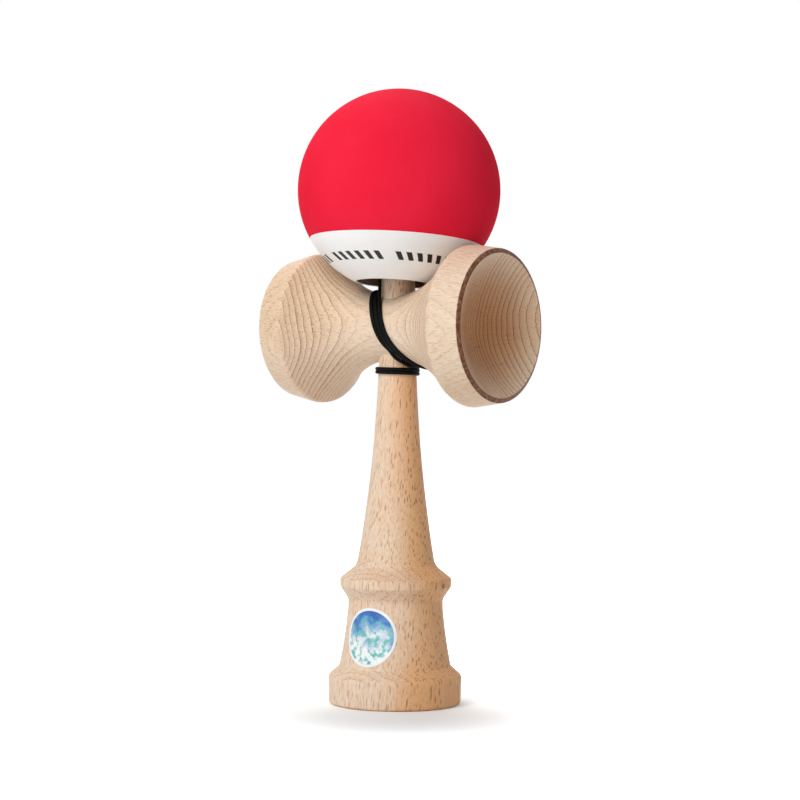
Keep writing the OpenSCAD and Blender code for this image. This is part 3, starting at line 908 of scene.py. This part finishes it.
sticker_rings = 24
sticker_sides = 96
sticker_points, sticker_faces, sticker_places = [], [], []
layers = [(ring / sticker_rings, sticker_over) for ring in range(1, sticker_rings + 1)]
layers[-1] = (1 - sticker_edge_share, sticker_over)
layers += [(1.0, sticker_over - sticker_edge_drop), (1.0, sticker_under)]
sticker_points.append(on_waist(0, 0, sticker_over))
sticker_places.append((0, 0))
for share, lift in layers:
    for k in range(sticker_sides):
        across = share * math.cos(2 * math.pi * k / sticker_sides)
        up = share * math.sin(2 * math.pi * k / sticker_sides)
        sticker_points.append(on_waist(sticker_r * across, sticker_r * up, lift))
        sticker_places.append((across, up))
for k in range(sticker_sides):
    sticker_faces.append((0, 1 + k, 1 + (k + 1) % sticker_sides))
for ring in range(len(layers) - 1):
    here, there = 1 + ring * sticker_sides, 1 + (ring + 1) * sticker_sides
    for k in range(sticker_sides):
        n = (k + 1) % sticker_sides
        sticker_faces.append((here + k, there + k, there + n, here + n))
sticker_mesh = bpy.data.meshes.new("foil_sticker")
sticker_mesh.from_pydata(sticker_points, [], sticker_faces)
sticker_mesh.attributes.new("place", "FLOAT_VECTOR", "POINT").data.foreach_set(
    "vector", np.array([(*p, 0) for p in sticker_places], np.float32).ravel())
sticker = bpy.data.objects.new("foil_sticker", sticker_mesh)
bpy.context.scene.collection.objects.link(sticker)
sanded(sticker)
sticker_finish, sticker_tree, sticker_shader = finish_of("printed_foil")
billow_scale = 1.6
billow_fine_scale = 4.5
wash_share = 0.35
sky_shares = (0.35, 0.75)
sea_shares = (0.45, 0.62)
deep_shares = (0.68, 0.8)
border_shares = (0.9, 0.915)
foil_rough_shares = (0.3, 0.7, 0.22, 0.34)
spot_place = add_node(sticker_tree, "Attribute", {}, attribute_name="place").outputs["Vector"]
billow = noise(sticker_tree, spot_place, billow_scale, detail=4.0)
billow_fine = noise(sticker_tree, spot_place, billow_fine_scale, detail=5.0)
height_in = add_node(sticker_tree, "SeparateXYZ", {0: spot_place}).outputs[1]
wash = calc(sticker_tree, "ADD", calc(sticker_tree, "MULTIPLY", height_in, wash_share), billow)
sky = mixed(sticker_tree, ramp(sticker_tree, wash, *sky_shares), paint("F2F6F6"), paint("2F86C8"))
sky = mixed(sticker_tree, ramp(sticker_tree, billow_fine, *sea_shares), sky, paint("5FB8B4"))
sky = mixed(sticker_tree, ramp(sticker_tree, wash, *deep_shares), sky, paint("1F5FB0"))
from_centre = add_node(sticker_tree, "VectorMath", {0: spot_place}, operation="LENGTH").outputs["Value"]
border = ramp(sticker_tree, from_centre, *border_shares)
fill(sticker_tree, sticker_shader, {
    "Base Color": mixed(sticker_tree, border, sky, paint("F1F3F3")),
    "Roughness": ramp(sticker_tree, billow, *foil_rough_shares),
    "Coat Weight": 0.3,
    "Coat Roughness": 0.15,
})
sticker.data.materials.append(sticker_finish)
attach(sticker, "ken")
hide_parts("sticker")


# Floor and light
# A white floor that glows for the camera, so that it runs into a white surround, with painted shade in a
# dimmer disc just in front of the toy; one large soft light from the upper left, a weaker
# one from above and behind and a faint one from low in front, as in a product studio.
floor_reach = 4.0
floor_drop = -0.00005
dim_ahead = 0.025
dim_r = 0.012
bright_r = 0.075
dim_share = 0.05


def seen_directly(tree):
    """One for the rays of the camera, of reflections and through glass, and nought for all others."""
    rays = add_node(tree, "LightPath", {}).outputs
    seen = calc(tree, "MAXIMUM", rays["Is Camera Ray"], rays["Is Glossy Ray"])
    return calc(tree, "MAXIMUM", seen, rays["Is Transmission Ray"])


floor_mesh = bpy.data.meshes.new("floor")
floor_mesh.from_pydata([(-floor_reach, -floor_reach, floor_drop), (floor_reach, -floor_reach, floor_drop),
                        (floor_reach, floor_reach, floor_drop), (-floor_reach, floor_reach, floor_drop)],
                       [], [(0, 1, 2, 3)])
floor = bpy.data.objects.new("floor", floor_mesh)
bpy.context.scene.collection.objects.link(floor)
floor_finish, floor_tree, floor_shader = finish_of("floor")
floor_far = add_node(floor_tree, "VectorMath", {0: on_piece(floor_tree), 1: to_camera * dim_ahead},
                     operation="DISTANCE").outputs["Value"]
# Painted light and shade: the floor glows white for the camera, only weakly in a disc a little in front of
# the toy, so that the disc reads a shade darker and the toy's shadow shows only there.
glow = ramp(floor_tree, floor_far, dim_r, bright_r, dim_share, 1.0)
fill(floor_tree, floor_shader, {
    "Base Color": paint("F4F4F4"),
    "Roughness": 0.9,
    "Specular IOR Level": 0.0,
    "Emission Color": paint("FFFFFF"),
    "Emission Strength": calc(floor_tree, "MULTIPLY", seen_directly(floor_tree), glow),
})
floor.data.materials.append(floor_finish)

world = bpy.data.worlds.new("studio")
bpy.context.scene.world = world
world.use_nodes = True
world_tree = world.node_tree
world_tree.nodes.clear()
ambient = 0.25
surround = add_node(world_tree, "Background", {
    "Color": paint("FFFFFF"),
    "Strength": ramp(world_tree, seen_directly(world_tree), 0.0, 1.0, ambient, 1.0),
})
add_node(world_tree, "OutputWorld", {0: surround.outputs[0]})
aim = Vector((0, 0, 0.09))


def soft_box(name, aside, forward, up, size, watts):
    """Square soft light, placed from the toy's middle as the camera sees it and turned to it."""
    data = bpy.data.lights.new(name, "AREA")
    data.size = size
    data.energy = watts
    lamp = bpy.data.objects.new(name, data)
    bpy.context.scene.collection.objects.link(lamp)
    lamp.location = aim + to_right * aside + to_camera * forward + Vector((0, 0, up))
    lamp.rotation_euler = (aim - lamp.location).to_track_quat("-Z", "Y").to_euler()


soft_box("key_light", aside=-0.49, forward=0.74, up=0.73, size=0.7, watts=8.2)
soft_box("top_light", aside=-0.15, forward=-0.55, up=1.0, size=0.8, watts=4.5)
soft_box("low_light", aside=-0.4, forward=0.85, up=-0.03, size=0.5, watts=1.4)
